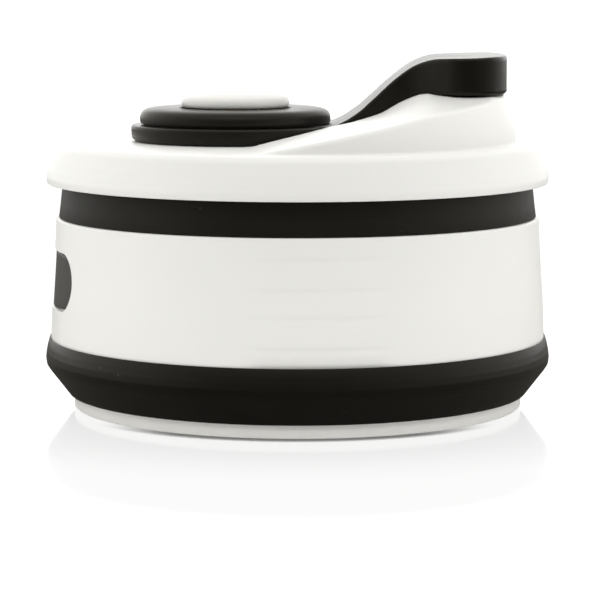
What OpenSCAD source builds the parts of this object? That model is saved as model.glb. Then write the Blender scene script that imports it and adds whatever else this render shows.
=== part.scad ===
// Collapsible travel cup, folded flat, with a press-on lid.
// The silicone wall is folded into nested rings inside the grip sleeve; pulling
// the sleeve away from the base unfolds it. The lid carries a hinged drinking
// stopper and a push-button air vent. Z is the cup's axis, z = 0 is the table,
// the drinking spout is on +X.
// In names, r is a radius (ri inner, ro outer), t a thickness, h a height,
// hw a half width, and z0 and z1 are the bottom and top of a part.

/* [Base] */
// Radius of the rigid foot plate
foot_r = 43.9; // [43:0.1:44.4]
// Thickness of the rigid foot plate
foot_t = 2.6; // [2.2:0.1:2.6]
// Largest radius of the silicone bumper
bumper_r = 49.4; // [49.2:0.1:50.4]
// Height of the inner floor above the table
floor_z = 4.0; // [3.9:0.1:4.2]

/* [Folding wall] */
// Thickness of the standing wall rings
ring_t = 2.0; // [1.6:0.1:2.4]
// Radial gap bridged by each fold
fold_gap = 2.5; // [2.2:0.1:2.7]
// Height step of each fold, half of what it travels when it flips
fold_h = 6.9; // [6.5:0.1:6.9]
// Height of the thick root at each end of a fold
fold_root = 1.4; // [1:0.1:1.5]
// Height of the lower and upper wall rings
ring_h = 9.8; // [9.7:0.1:10.2]

/* [Grip sleeve] */
// Depth of the finger grooves at their middle
groove_depth = 0.4; // [0.2:0.05:0.7]
// Radius of the groove section
groove_r = 1.3; // [1:0.1:2.4]
// Half of the angle that a groove covers
groove_half_angle = 17.5; // [12:0.5:24]
// How far the sleeve is turned on the cup
sleeve_turn = 5.3; // [0:0.1:12]
// Width of the oval badge inlay
badge_w = 34.8; // [24:0.2:38]
// Height of the oval badge inlay
badge_h = 11; // [8:0.5:12]
// Depth of the badge inlay
badge_t = 0.8; // [0.5:0.1:0.9]

/* [Lid] */
// Outer radius of the lid skirt
lid_r = 49; // [48.9:0.1:50.5]
// Thickness of the lid's top plate and of the spout hump
lid_t = 1.8; // [1.5:0.1:1.9]
// Radius of the drinking hole
drink_r = 4.5; // [4.4:0.1:5.6]
// Distance of the drinking hole from the cup's axis
drink_x = 32.5; // [31:0.5:34]
// Radius of the foot of the spout hump
hump_r = 42.65; // [42:0.05:43]

/* [Knob and vent] */
// Distance of the knob from the cup's axis
knob_x = 12.15; // [11.8:0.05:12.4]
// Radius of the lower, silicone tier of the knob
tier_r = 20.3; // [19.8:0.1:20.6]
// Radius of the upper tier of the knob
cap_r = 18.6; // [17.5:0.1:18.8]
// Radius of the vent button
button_r = 10.5; // [9.5:0.1:10.6]
// How far the vent button goes down
button_travel = 1.2; // [0.6:0.1:1.2]

/* [Stopper] */
// Half width of the strap
strap_hw = 10; // [8:0.5:10.5]
// Half width of the stopper pad
pad_hw = 16.2; // [14:0.1:17]
// Height of the top of the pad
pad_top = 68; // [67:0.5:69]

/* [Hidden] */
$fn = 96;

white = [0.92, 0.92, 0.90];
black = [0.10, 0.10, 0.09];
grey = [0.30, 0.29, 0.27];

fit = 0.02;    // gap between parts that sit tight
slack = 0.05;  // gap between parts that sit loosely

// ---- shared shapes; turned outlines are [radius, z], side outlines [x, z] ----

// Point at fraction t between two points, on a smooth curve with their neighbours
function spline_point(before, start, end, after, t) =
  0.5 * (2 * start + (end - before) * t
    + (2 * before - 5 * start + 4 * end - after) * t * t
    + (3 * start - before - 3 * end + after) * t * t * t);

// Smooth curve through a list of points
function curve(points, steps = 3) =
  let (last = len(points) - 1)
  concat(
    [for (i = [0 : last - 1]) for (k = [0 : steps - 1])
      spline_point(points[max(i - 1, 0)], points[i], points[i + 1],
        points[min(i + 2, last)], k / steps)],
    [points[last]]);

function reversed(points) = [for (i = [len(points) - 1 : -1 : 0]) points[i]];

module turned(outline) rotate_extrude() polygon(outline);

module turned_on_knob(outline) translate([-knob_x, 0, 0]) turned(outline);

// Side outline extruded along Y, evenly to both sides of y = 0
module across(half_width, outline)
  translate([0, half_width, 0]) rotate([90, 0, 0])
    linear_extrude(height = 2 * half_width) polygon(outline);

module tube(ri, ro, z0, z1, chamfer = 0) turned([
  [ri + chamfer, z0], [ro - chamfer, z0], [ro, z0 + chamfer], [ro, z1 - chamfer],
  [ro - chamfer, z1], [ri + chamfer, z1], [ri, z1 - chamfer], [ri, z0 + chamfer]]);

module stadium(width, height) {
  square([width - height, height], center = true);
  for (side = [-1, 1])
    translate([side * (width - height) / 2, 0]) circle(r = height / 2);
}

// ---- base ----
root_r = 45;          // inside of the base lip and of the upper wall
base_root_z = 12.2;   // middle of the fold root on the base
seat_z = 12.2;        // where the sleeve lands on the base
foot_recess = 0.7;    // height of the plate's recessed underside
rib_ri = 38;          // rib on top of the plate
rib_ro = 40;
rib_h = 0.8;
rib_slope = 0.2;
hoop_ri = 46.3;
hoop_ro = 47.3;
hoop_z0 = 7.4;

// Rib outline from the inside out, enlarged by gap
function rib(gap) = [
  [rib_ri - gap, foot_t], [rib_ri + rib_slope - gap, foot_t + rib_h + gap],
  [rib_ro - rib_slope + gap, foot_t + rib_h + gap], [rib_ro + gap, foot_t]];

module base_plate() color(white) difference() {
  turned(concat(
    [[0, foot_recess], [36, foot_recess], [36.7, 0], [foot_r - 0.5, 0],
      [foot_r, 0.4], [foot_r, foot_t]],
    reversed(rib(0)),
    [[0, foot_t]]));
  // shallow ring mark left by the mould's ejector sleeve
  rotate_extrude() translate([20, foot_recess]) circle(r = 0.3, $fn = 24);
}

module base_bumper() color(black) turned(concat(
  [[0, foot_t]],
  rib(fit),
  curve([[44.95, foot_t], [46.25, 4.05], [47.4, 5.6], [bumper_r - 0.95, 7.1],
    [bumper_r - 0.25, 8.2], [bumper_r, 9.5], [bumper_r - 0.2, 11.2],
    [bumper_r - 0.5, 12.5], [48.57, 13.6]]),
  // step for the sleeve, then the pocket of the docking hoop
  [[48.47, 13.55], [48.47, seat_z], [hoop_ro + fit, seat_z], [hoop_ro + fit, hoop_z0 - fit],
    [hoop_ri - fit, hoop_z0 - fit], [hoop_ri - fit, 12.6]],
  // inside of the lip, down to the floor
  [[45.9, base_root_z + fold_root / 2], [root_r, base_root_z + fold_root / 2],
    [root_r, 8], [44.3, floor_z + 0.6], [43.6, floor_z], [0, floor_z]]));

module docking_hoop() color(white) tube(hoop_ri, hoop_ro, hoop_z0, seat_z, chamfer = 0.15);

// ---- folding wall ----
// Radii: the lower and upper rings are wide, the middle ring is narrow
wide_ro = root_r - fold_gap;
wide_ri = wide_ro - ring_t;
narrow_ro = wide_ri - fold_gap;
narrow_ri = narrow_ro - ring_t;

// Heights when folded: "in" and "out" are the middles of a fold's inner and outer roots
half_root = fold_root / 2;
fold_1_in = base_root_z - fold_h;
lower_z0 = fold_1_in - half_root;
lower_z1 = lower_z0 + ring_h;
fold_2_out = lower_z1 - half_root;
fold_2_in = fold_2_out - fold_h;
middle_z0 = fold_2_in - half_root;
ring_spacing = 1.4;  // between the lower and upper rings
upper_z0 = lower_z1 + ring_spacing;
fold_3_out = upper_z0 + half_root;
fold_3_in = fold_3_out + fold_h;
middle_z1 = fold_3_in + half_root;
upper_z1 = upper_z0 + ring_h;
fold_4_in = upper_z1 - half_root;
fold_4_out = fold_4_in - fold_h;
wall_z0 = fold_4_out - half_root;

// One fold: a thin bell of silicone between a root on the inside of a wall
// (radius ro, height z_out) and a root on the outside of a ring (radius ri, height z_in)
module fold(ro, z_out, ri, z_in) {
  dir = z_out > z_in ? 1 : -1;
  gap = ro - ri;
  turned([
    [ro, z_out + dir * half_root],
    [ro - 0.34 * gap, z_out + dir * (half_root - 0.45)],
    [ro - 0.56 * gap, z_out + dir * (half_root - 1.5)],
    [ri + 0.06 * gap, z_in + dir * (half_root + 0.7)],
    [ri, z_in + dir * half_root],
    [ri, z_in - dir * half_root],
    [ri + 0.3 * gap, z_in - dir * (half_root - 0.1)],
    [ri + 0.5 * gap, z_in - dir * (half_root - 0.8)],
    [ro - 0.1 * gap, z_out - dir * (half_root + 0.5)],
    [ro, z_out - dir * half_root]]);
}

module wall_fold_1() color(black) fold(root_r, base_root_z, wide_ro, fold_1_in);
module wall_ring_lower() color(black) tube(wide_ri, wide_ro, lower_z0, lower_z1);
module wall_fold_2() color(black) fold(wide_ri, fold_2_out, narrow_ro, fold_2_in);
module wall_ring_middle() color(black) tube(narrow_ri, narrow_ro, middle_z0, middle_z1);
module wall_fold_3() color(black) fold(wide_ri, fold_3_out, narrow_ro, fold_3_in);
module wall_ring_upper() color(black) tube(wide_ri, wide_ro, upper_z0, upper_z1);
module wall_fold_4() color(black) fold(root_r, fold_4_out, wide_ro, fold_4_in);

// ---- grip sleeve and upper wall ----
sleeve_z0 = seat_z + slack;
sleeve_top = 37;
tongue_top = 40.6;      // thin ring standing on the sleeve, let into the upper wall
tongue_ro = 45.7;
rim_z = 49.6;
inner_edge_z = 12.6;    // top of the chamfer at the sleeve's inner bottom edge
badge_z = 25.4;
groove_zs = [16.6, 22.2, 27.2, 32.8];
groove_ref_r = 48;      // sleeve radius used to work out the groove's curve

// Sections of the sleeve's outer face: start height, radius, radius lost per mm up
outer_taper = [[12.2, 48.42, 0.0376], [20.7, 48.1, 0.0685], [28, 47.6, 0.0556]];

// Radius of the sleeve's outer face at height z
function sleeve_ro(z) =
  let (row = outer_taper[z < outer_taper[1][0] ? 0 : z < outer_taper[2][0] ? 1 : 2])
  row[1] - (z - row[0]) * row[2];

// Radius of the sleeve's inner face at height z
function sleeve_ri(z) = 46.9 - (z - inner_edge_z) * 0.0717;

// Outline at a depth under the sleeve's outer face, from the bottom up
function sleeve_face(depth) =
  [for (z = [sleeve_z0, outer_taper[1][0], outer_taper[2][0], sleeve_top])
    [sleeve_ro(z) - depth, z]];

// Silicone wall with the rim and the visible band
module upper_wall() color(black) turned([
  [root_r, wall_z0], [sleeve_ri(wall_z0) - slack, wall_z0],
  [sleeve_ri(sleeve_top) - slack, sleeve_top],
  [sleeve_ri(sleeve_top) - slack, tongue_top + slack],
  [tongue_ro + slack, tongue_top + slack], [tongue_ro + slack, sleeve_top + 0.03],
  [46.62, sleeve_top + 0.03], [46.28, 39.7], [45.84, 43.8], [45.7, 46.5],
  [45.5, rim_z - 0.7], [44.9, rim_z], [44, rim_z], [43.5, rim_z - 0.5],
  [43.4, rim_z - 1.5], [43.4, sleeve_top], [root_r, wall_z0 + fold_root]]);

// Oval block through the sleeve on the -X side
module badge_block(grow) rotate([0, 0, 180 + sleeve_turn])
  translate([30, 0, badge_z]) rotate([90, 0, 90]) linear_extrude(height = 25)
    stadium(badge_w + 2 * grow, badge_h + 2 * grow);

// Layer of the sleeve between two depths under its outer face
module sleeve_layer(outer_depth, inner_depth)
  turned(concat(sleeve_face(outer_depth), reversed(sleeve_face(inner_depth))));

// Ring cutter, off centre, so that the groove runs out to nothing at both ends
module groove(z, azimuth) {
  half_rad = groove_half_angle * PI / 180;
  bow = groove_depth / (half_rad * half_rad / 2);
  offset_x = bow * groove_ref_r / (groove_ref_r - bow);
  rotate([0, 0, azimuth]) translate([-offset_x, 0, z])
    rotate_extrude() translate([sleeve_ro(z) + offset_x - groove_depth + groove_r, 0])
      circle(r = groove_r, $fn = 32);
}

module grip_sleeve() color(white) difference() {
  turned(concat(
    [[sleeve_ri(inner_edge_z) + 0.2, sleeve_z0]],
    sleeve_face(0),
    [[tongue_ro, sleeve_top], [tongue_ro, tongue_top - 0.2], [45.55, tongue_top],
      [45.35, tongue_top], [sleeve_ri(sleeve_top), tongue_top - 0.3],
      [sleeve_ri(sleeve_top), sleeve_top], [sleeve_ri(inner_edge_z), inner_edge_z]]));
  for (side = [0, 180]) for (z = groove_zs)
    groove(z, 270 + sleeve_turn + side);
  intersection() {
    badge_block(slack);
    sleeve_layer(-2, badge_t + fit);
  }
}

module grip_badge() color(grey) intersection() {
  badge_block(0);
  sleeve_layer(0.3, badge_t);
}

// ---- lid ----
lid_top = 51.6;
lid_under = lid_top - lid_t;
skirt_z = 43.65;
liner_r = 42.9;
gasket_floor_r = 41.8;    // gasket groove in the liner's edge
gasket_z0 = 41;
gasket_z1 = 44.6;
lip_r = 43.35;            // edge of the gasket's two lips
post_r = 7;
platform_z = 60.8;        // flat seat under the stopper pad
platform_hw = 17;
channel_hw = 11;          // channel for the root of the strap
recess_r = 21.2;          // round recess for the knob
recess_z = lid_top - 3;   // bottom of the recess and channel cutters
hump_z0 = 46;             // bottom of the hump's side outlines
hump_x1 = 44;             // their end on +X
hump_h = 11.4;            // height of the hump's cone above the lid's top
hump_taper = 0.22;        // radius the cone loses per mm up
side_fall = 3;            // angle at which the top falls away to each side

// Side outlines [x, z] of the hump's top, of the ramp up to the platform
// and of the channel's floor
hump_ridge = [[-14, 52.4], [-6.4, 54.1], [0.4, 55.5], [7.7, 56.85], [15, 58.2],
  [22.4, 59.4], [30.1, 60.3], [36.3, 60.5], [hump_x1, 60.4]];
platform_ramp = [[16, 57], [17.6, 58.35], [19.2, 59.1], [20.8, 59.9], [22.4, 60.5],
  [24.4, platform_z]];
channel_floor = [[8.2, 51.6], [10, 52.2], [12, 53.5], [14.2, 55.4], [16.5, 57.4],
  [17.9, 58.3], [19.2, 59.1]];

module lid_gasket() color(grey) turned([
  [gasket_floor_r + slack, gasket_z0 + slack], [liner_r, gasket_z0 + slack],
  [lip_r, 41.4], [lip_r, 41.8], [liner_r, 42.3], [liner_r, 43.2], [lip_r, 43.6],
  [lip_r, 44], [liner_r, gasket_z1 - slack], [gasket_floor_r + slack, gasket_z1 - slack]]);

// Two sloping halves of the hump's top, with the platform across them
module hump_roof(inset) {
  for (side = [0, 1]) mirror([0, side, 0]) rotate([side_fall, 0, 0])
    translate([0, 0.5, 0]) rotate([90, 0, 0]) linear_extrude(height = 50)
      polygon(concat([for (p = hump_ridge) [p[0], p[1] - inset]],
        [[hump_x1, hump_z0], [-14, hump_z0]]));
  across(platform_hw - inset, concat(
    [[14, hump_z0]],
    [for (p = curve(platform_ramp)) [p[0] + inset, p[1] - inset]],
    [[hump_x1, platform_z - inset], [hump_x1, hump_z0]]));
}

// Spout hump, shrunk by inset on every side; it rises from the lid towards +X
module hump(inset) intersection() {
  // the outer form starts at the plate's underside, the hollow a little lower
  translate([0, 0, lid_under - (inset > 0 ? 1 : 0)]) cylinder(
    r1 = hump_r + hump_taper * lid_t - inset,
    r2 = hump_r - hump_taper * hump_h - inset, h = hump_h + lid_t);
  difference() {
    hump_roof(inset);
    translate([-knob_x, 0, recess_z]) cylinder(r = recess_r + inset, h = 20);
    // everything on the -X side of the knob's axis
    translate([-knob_x - 60, -60, 40]) cube([60, 120, 40]);
    across(channel_hw + inset, concat(
      [[0, recess_z]],
      [for (p = curve(channel_floor)) [p[0] + inset, p[1] - inset]],
      [[19.2 + inset, 70], [0, 70]]));
  }
}

module lid_shell() color(white) difference() {
  union() {
    turned(concat(
      [[47, skirt_z + 0.3], [47.4, skirt_z]],
      curve([[48.2, skirt_z], [lid_r - 0.25, skirt_z + 0.4], [lid_r, skirt_z + 1.15],
        [lid_r - 0.3, 46.5], [lid_r - 0.75, 48.3], [lid_r - 1.15, 49.9],
        [lid_r - 1.6, 50.8], [lid_r - 2.7, lid_top]]),
      [[0, lid_top], [0, lid_under], [45.9, lid_under], [46.6, 49.3], [46.9, 48.5]]));
    hump(0);
  }
  // hollow of the hump; the cylinder is larger all round
  intersection() {
    hump(lid_t);
    translate([0, 0, 40]) cylinder(r = 60, h = 30);
  }
  translate([drink_x, 0, 50]) cylinder(r = drink_r, h = 15);
  translate([-knob_x, 0, 40]) cylinder(r = post_r + 0.03, h = 20);
}

module lid_liner() color(white) difference() {
  turned([[0, 47.9], [40.9, 47.9], [40.9, 38.8], [41.2, 38.5], [42.3, 38.5],
    [liner_r, 39.3], [liner_r, gasket_z0], [gasket_floor_r, gasket_z0],
    [gasket_floor_r, gasket_z1], [liner_r, gasket_z1], [liner_r, 49.6], [0, 49.6]]);
  // window through which the drink reaches the spout
  translate([26, 0, 40]) linear_extrude(height = 20) rotate(90) stadium(26, 12);
  // air hole around the knob post
  translate([-knob_x, 0, 40]) cylinder(r = 10.4, h = 20);
}

// ---- knob ----
tier_z = 54.8;         // top of the lower tier
cap_z0 = 54.9;
cap_z1 = 58.1;
well_z = cap_z1 - button_travel;
well_r = button_r + 0.35;
post_floor_z = 49.9;   // floor inside the post
post_top = 55.8;
stem_r = 1.4;

module knob_post() color(white) translate([-knob_x, 0, 0]) difference() {
  turned([[0, 48.3], [9.7, 48.3], [10, 48.6], [10, lid_under - fit],
    [post_r, lid_under - fit], [post_r, post_top - 0.3], [post_r - 0.3, post_top],
    [5, post_top], [5, post_floor_z], [0, post_floor_z]]);
  // hole for the vent stem, with four small holes around it
  translate([0, 0, 48]) cylinder(r = stem_r + 0.08, h = 3);
  for (i = [0 : 3]) rotate(45 + 90 * i) translate([3.3, 0, 48]) cylinder(r = 0.6, h = 3);
}

module knob_cap() color(black) turned_on_knob(concat(
  [[post_r + fit, cap_z0], [cap_r - 0.4, cap_z0], [cap_r, cap_z0 + 0.4]],
  curve([[cap_r, 56.4], [cap_r - 0.3, 57.2], [cap_r - 0.95, 57.8], [cap_r - 2, cap_z1]]),
  [[well_r, cap_z1], [well_r, well_z], [4.88, well_z], [4.88, post_top + 0.06],
    [post_r + fit, post_top + 0.06]]));

// ---- stopper ----
hinge = [13.5, 57.25];   // [x, z] of the stopper hinge, its axis along Y
hinge_r = 1.7;
hinge_relief = 2.9;      // radius cleared around the hinge
pad_z = 60.95;           // underside of the pad
pin_r = 2.5;             // pin of the plug, let into the pad

// Side outlines [x, z] of the strap's root (under and upper faces) and of the strap
root_under = [[8.6, 51.8], [10, 52.35], [12, 53.65], [14.2, 55.55]];
root_upper = [[6.6, tier_z + 0.02], [7.6, 55.2], [8.5, 55.75], [9.8, 56.5], [11.6, 57.6]];
strap_under = [[15.4, 56.6], [16.5, 57.55], [17.9, 58.45], [19.2, 59.25], [20.8, 60.15],
  [22.4, 60.75], [24.2, pad_z]];
strap_upper = [[13.8, 59.6], [15.4, 61.05], [16.5, 62.1], [18.6, 63.95], [20.8, 65.6],
  [22.6, 66.7], [24.5, 67.48], [26.1, 67.85], [28, pad_top]];

// Plan [x, half width] of strap and pad
flare = pad_hw - strap_hw;
strap_plan = curve([[10, strap_hw], [15, strap_hw], [19, strap_hw],
  [22, strap_hw + 0.1 * flare], [24.8, strap_hw + 0.4 * flare],
  [27.4, strap_hw + 0.74 * flare], [30, pad_hw - 0.3], [32.5, pad_hw], [35, pad_hw - 0.4],
  [37.2, pad_hw - 1.8], [39, pad_hw - 4.8], [40.1, pad_hw - 8.6], [40.5, pad_hw - 12.4],
  [40.6, 0]], steps = 4);

module hinge_rod(radius, half_width)
  translate([hinge[0], half_width, hinge[1]]) rotate([90, 0, 0])
    cylinder(r = radius, h = 2 * half_width);

// Lower tier of the knob and the root of the strap, one silicone moulding
module stopper_ring() color(black) difference() {
  union() {
    turned_on_knob([[post_r + slack, lid_top + 0.03], [tier_r - 0.7, lid_top + 0.03],
      [tier_r, 52.3], [tier_r, tier_z - 0.8], [tier_r - 0.2, tier_z - 0.25],
      [tier_r - 0.8, tier_z], [post_r + slack, tier_z]]);
    across(strap_hw, concat([[4, 51.7], [8.2, 51.7]], curve(root_under), [hinge],
      reversed(curve(root_upper)), [[4, tier_z]]));
  }
  hinge_rod(hinge_relief, 20);
}

module stopper_strap() color(black) difference() {
  union() {
    intersection() {
      across(30, concat(
        [[hinge[0] - 1.1, hinge[1] + 1.3], [hinge[0] + 1.1, hinge[1] - 1.3]],
        curve(strap_under), [[45, pad_z], [45, pad_top]], reversed(curve(strap_upper))));
      linear_extrude(height = 100) polygon(concat(
        strap_plan, reversed([for (p = strap_plan) [p[0], -p[1]]])));
    }
    hinge_rod(hinge_r, strap_hw);
  }
  translate([drink_x, 0, 58]) cylinder(r = pin_r + fit, h = 5.2);
}

module drink_plug() color(grey) translate([drink_x, 0, 0]) turned([
  [0, 57.5], [drink_r - 1, 57.5], [drink_r - 0.6, 58], [drink_r - 0.12, 60.2],
  [drink_r - 0.12, pad_z - fit], [pin_r, pad_z - fit], [pin_r, 63.1], [0, 63.1]]);

// ---- vent ----
button_z0 = 53.6;   // lower end of the button's shank
button_z1 = 61.1;
shank_r = 4.8;
socket_z = 57;      // top of the socket for the stem
flange_z = cap_z1 + slack;
valve_z0 = 46.6;    // shoulder of the stem that carries the valve

module vent_button() color(white) turned_on_knob(concat(
  [[stem_r + 0.01, button_z0], [shank_r - 0.3, button_z0], [shank_r, button_z0 + 0.3],
    [shank_r, flange_z], [button_r - 0.7, flange_z]],
  curve([[button_r - 0.25, 58.35], [button_r, 59], [button_r, 59.9],
    [button_r - 0.35, 60.6], [button_r - 1.1, button_z1 - 0.1], [button_r - 2, button_z1]]),
  // dished top, then the stem socket
  [[6, button_z1 - 0.05], [5, button_z1 - 0.22], [0, button_z1 - 0.28],
    [0, socket_z], [stem_r + 0.01, socket_z]]));

module vent_stem() color(grey) turned_on_knob([
  [0, 45.7], [2, 45.7], [2.2, 45.9], [2.2, valve_z0], [stem_r, valve_z0],
  [stem_r, socket_z - slack], [0, socket_z - slack]]);

module vent_valve() color(black) turned_on_knob([
  [stem_r + fit, valve_z0 + fit], [3.8, valve_z0 + fit], [4.5, 47.6], [4.5, 48.25],
  [stem_r + fit, 48.25]]);

module return_dome() color(black) turned_on_knob([
  [3.6, post_floor_z + fit], [4.7, post_floor_z + fit], [4.7, 50.3],
  [2.9, button_z0 - fit], [1.9, button_z0 - fit], [1.9, 53.1]]);

base_plate();
base_bumper();
docking_hoop();
wall_fold_1();
wall_ring_lower();
wall_fold_2();
wall_ring_middle();
wall_fold_3();
wall_ring_upper();
wall_fold_4();
upper_wall();
grip_sleeve();
grip_badge();
lid_gasket();
lid_shell();
lid_liner();
knob_post();
knob_cap();
stopper_ring();
stopper_strap();
drink_plug();
vent_button();
vent_stem();
vent_valve();
return_dome();
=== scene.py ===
"""Folding cup with a lid, a knob and a strapped stopper.

The cup stands upright on the floor with its axis on Z. The knob and the badge are on
the -X side, the stopper on the +X side, and the camera looks from -Y. Shapes are
written in millimetres and scaled to metres when they become meshes.
"""
import math

import bpy
import bmesh
import numpy as np
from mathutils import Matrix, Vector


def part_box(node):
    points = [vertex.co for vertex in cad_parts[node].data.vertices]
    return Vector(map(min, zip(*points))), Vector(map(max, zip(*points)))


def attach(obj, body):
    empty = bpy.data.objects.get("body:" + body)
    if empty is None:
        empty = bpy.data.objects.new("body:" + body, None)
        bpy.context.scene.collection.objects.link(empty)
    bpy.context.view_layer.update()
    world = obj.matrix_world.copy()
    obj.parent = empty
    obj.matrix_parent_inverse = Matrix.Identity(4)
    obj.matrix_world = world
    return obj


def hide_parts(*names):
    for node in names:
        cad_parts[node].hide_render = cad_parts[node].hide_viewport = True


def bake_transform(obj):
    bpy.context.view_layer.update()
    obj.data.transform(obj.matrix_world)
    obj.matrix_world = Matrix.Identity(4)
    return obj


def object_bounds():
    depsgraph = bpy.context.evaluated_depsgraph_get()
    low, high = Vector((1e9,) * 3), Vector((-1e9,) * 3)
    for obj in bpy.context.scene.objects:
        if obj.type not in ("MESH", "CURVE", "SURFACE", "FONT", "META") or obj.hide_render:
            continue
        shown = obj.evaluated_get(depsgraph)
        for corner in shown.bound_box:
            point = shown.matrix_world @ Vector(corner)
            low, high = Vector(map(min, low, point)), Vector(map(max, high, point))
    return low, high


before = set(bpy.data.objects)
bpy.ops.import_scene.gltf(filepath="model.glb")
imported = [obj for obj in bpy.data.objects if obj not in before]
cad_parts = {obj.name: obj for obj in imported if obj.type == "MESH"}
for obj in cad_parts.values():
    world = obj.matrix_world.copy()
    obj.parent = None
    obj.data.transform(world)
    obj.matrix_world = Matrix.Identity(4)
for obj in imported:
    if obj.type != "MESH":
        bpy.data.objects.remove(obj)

MM = 0.001


def plain(b):
    return [[float(x) for x in corner] for corner in b]


CAD_BOX = plain(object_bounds())


def extent(node):
    """A CAD node's greatest x, lowest z and highest z, in mm."""
    low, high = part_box(node)
    return high[0] / MM, low[2] / MM, high[2] / MM


# Places shared by several pieces, in mm
FOOT_TOP = 2.6        # top of the base plate, where the bumper starts
KNOB_X = -12.15       # axis of the knob, its button and the recess around it
HOLE_X = 32.5         # axis of the drinking hole and of the bore in the stopper
LID_TOP = 51.6        # flat top of the lid around the hump
LID_WALL = 1.8        # thickness of the hump over its hollow
SHOULDER = 36.99      # height of the sleeve's shoulder
DOME_LOW, DOME_HIGH = 50.3, 53.58

# Grip sleeve and badge
TURN = math.radians(5.3)              # the grooves and the badge are turned this far about Z
SLEEVE_Z = [12.2, 20.7, 28, 37]
SLEEVE_R = [48.42, 48.1, 47.6, 47.1]  # outer radius at the heights above
GROOVE_Z = (16.6, 22.2, 27.2, 32.8)
GROOVE_DEPTH = 0.17
GROOVE_HALF = math.radians(18.5)      # half the arc a groove covers
_, badge_low, badge_high = extent("grip_badge")
BADGE_Z = (badge_low + badge_high) / 2
BADGE_HALF_H = (badge_high - badge_low) / 2
BADGE_HALF_W = 17.4
BADGE_ARC_R = 48.0                    # radius at which the badge's width is measured


# ---------------------------------------------------------------- outlines
def round_corner(before, point, after, steps):
    """The points that replace one corner. point: (x, y, radius), or (x, y) if sharp."""
    corner = np.array(point[:2], float)
    sharp = [tuple(corner)]
    radius = point[2] if len(point) > 2 else 0
    if radius <= 0:
        return sharp
    back = np.array(before[:2], float) - corner
    ahead = np.array(after[:2], float) - corner
    back_len, ahead_len = np.linalg.norm(back), np.linalg.norm(ahead)
    if back_len < 1e-6 or ahead_len < 1e-6:
        return sharp
    back, ahead = back / back_len, ahead / ahead_len
    angle = math.acos(max(-1, min(1, float(back @ ahead))))
    if angle > math.pi - 0.02:
        return sharp
    cut = min(radius / math.tan(angle / 2), 0.49 * back_len, 0.49 * ahead_len)
    radius = cut * math.tan(angle / 2)
    middle = (back + ahead) / np.linalg.norm(back + ahead)
    center = corner + middle * (radius / math.sin(angle / 2))
    first, last = corner + back * cut - center, corner + ahead * cut - center
    turn = math.atan2(first[0] * last[1] - first[1] * last[0], float(first @ last))
    arc = []
    for k in range(steps + 1):
        cos, sin = math.cos(turn * k / steps), math.sin(turn * k / steps)
        arc.append((center[0] + first[0] * cos - first[1] * sin,
                    center[1] + first[0] * sin + first[1] * cos))
    return arc


def fillet(points, steps=5):
    """Rounds the corners of a closed loop."""
    out = []
    for i, point in enumerate(points):
        out += round_corner(points[i - 1], point, points[(i + 1) % len(points)], steps)
    return out


def bend(points, steps=5):
    """Rounds the corners of an open chain."""
    out = [tuple(points[0][:2])]
    for before, point, after in zip(points, points[1:], points[2:]):
        out += round_corner(before, point, after, steps)
    return out + [tuple(points[-1][:2])]


def spline(points, steps=6):
    """Smooth (Catmull-Rom) curve through a list of points."""
    p = [np.array(q, float) for q in points]
    out = []
    for i in range(len(p) - 1):
        a, b, c, d = p[max(i - 1, 0)], p[i], p[i + 1], p[min(i + 2, len(p) - 1)]
        for k in range(steps):
            t = k / steps
            out.append(tuple(0.5 * (2 * b + (c - a) * t + (2 * a - 5 * b + 4 * c - d) * t * t
                                    + (3 * b - a - 3 * c + d) * t ** 3)))
    out.append(tuple(p[-1]))
    return out


def refine(loop, longest):
    """Splits the edges of a closed loop that are longer than longest."""
    out = []
    for i in range(len(loop)):
        a, b = np.array(loop[i]), np.array(loop[(i + 1) % len(loop)])
        parts = max(1, int(math.ceil(np.linalg.norm(b - a) / longest)))
        for j in range(parts):
            out.append(tuple(a + (b - a) * j / parts))
    return out


def hermite(stations):
    """A smooth function through (x, value) stations, monotone between them."""
    xs, ys = np.array(stations, float).T
    gap = np.diff(xs)
    slope = np.diff(ys) / gap
    tangent = np.empty_like(ys)
    tangent[0], tangent[-1] = slope[0], slope[-1]
    for i in range(1, len(xs) - 1):
        a, b = slope[i - 1], slope[i]
        tangent[i] = 0.0 if a * b <= 0 else 2 * a * b / (a + b)
    fine_x = np.linspace(xs[0], xs[-1], 1601)
    i = np.clip(np.searchsorted(xs, fine_x, "right") - 1, 0, len(xs) - 2)
    t = (fine_x - xs[i]) / gap[i]
    fine_y = ((2 * t ** 3 - 3 * t ** 2 + 1) * ys[i]
              + (t ** 3 - 2 * t ** 2 + t) * gap[i] * tangent[i]
              + (-2 * t ** 3 + 3 * t ** 2) * ys[i + 1]
              + (t ** 3 - t ** 2) * gap[i] * tangent[i + 1])
    return lambda x: np.interp(x, fine_x, fine_y)


# ---------------------------------------------------------------- meshes
def add_object(name, mesh, material):
    mesh.materials.append(material)
    made = bpy.data.objects.new(name, mesh)
    bpy.context.scene.collection.objects.link(made)
    return made


def shade_smooth(mesh):
    mesh.polygons.foreach_set("use_smooth", [True] * len(mesh.polygons))


def mesh_object(name, verts, faces, material, sharp=38):
    """A cleaned, smooth object from verts in mm. Edges above sharp degrees stay sharp."""
    mesh = bpy.data.meshes.new(name)
    mesh.from_pydata([tuple(v) for v in (np.asarray(verts) * MM)], [], faces)
    bm = bmesh.new()
    bm.from_mesh(mesh)
    bmesh.ops.remove_doubles(bm, verts=bm.verts, dist=1e-7)
    bmesh.ops.dissolve_degenerate(bm, edges=bm.edges, dist=1e-8)
    bmesh.ops.recalc_face_normals(bm, faces=bm.faces)
    bm.to_mesh(mesh)
    bm.free()
    shade_smooth(mesh)
    mesh.set_sharp_from_angle(angle=math.radians(sharp))
    return add_object(name, mesh, material)


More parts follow.
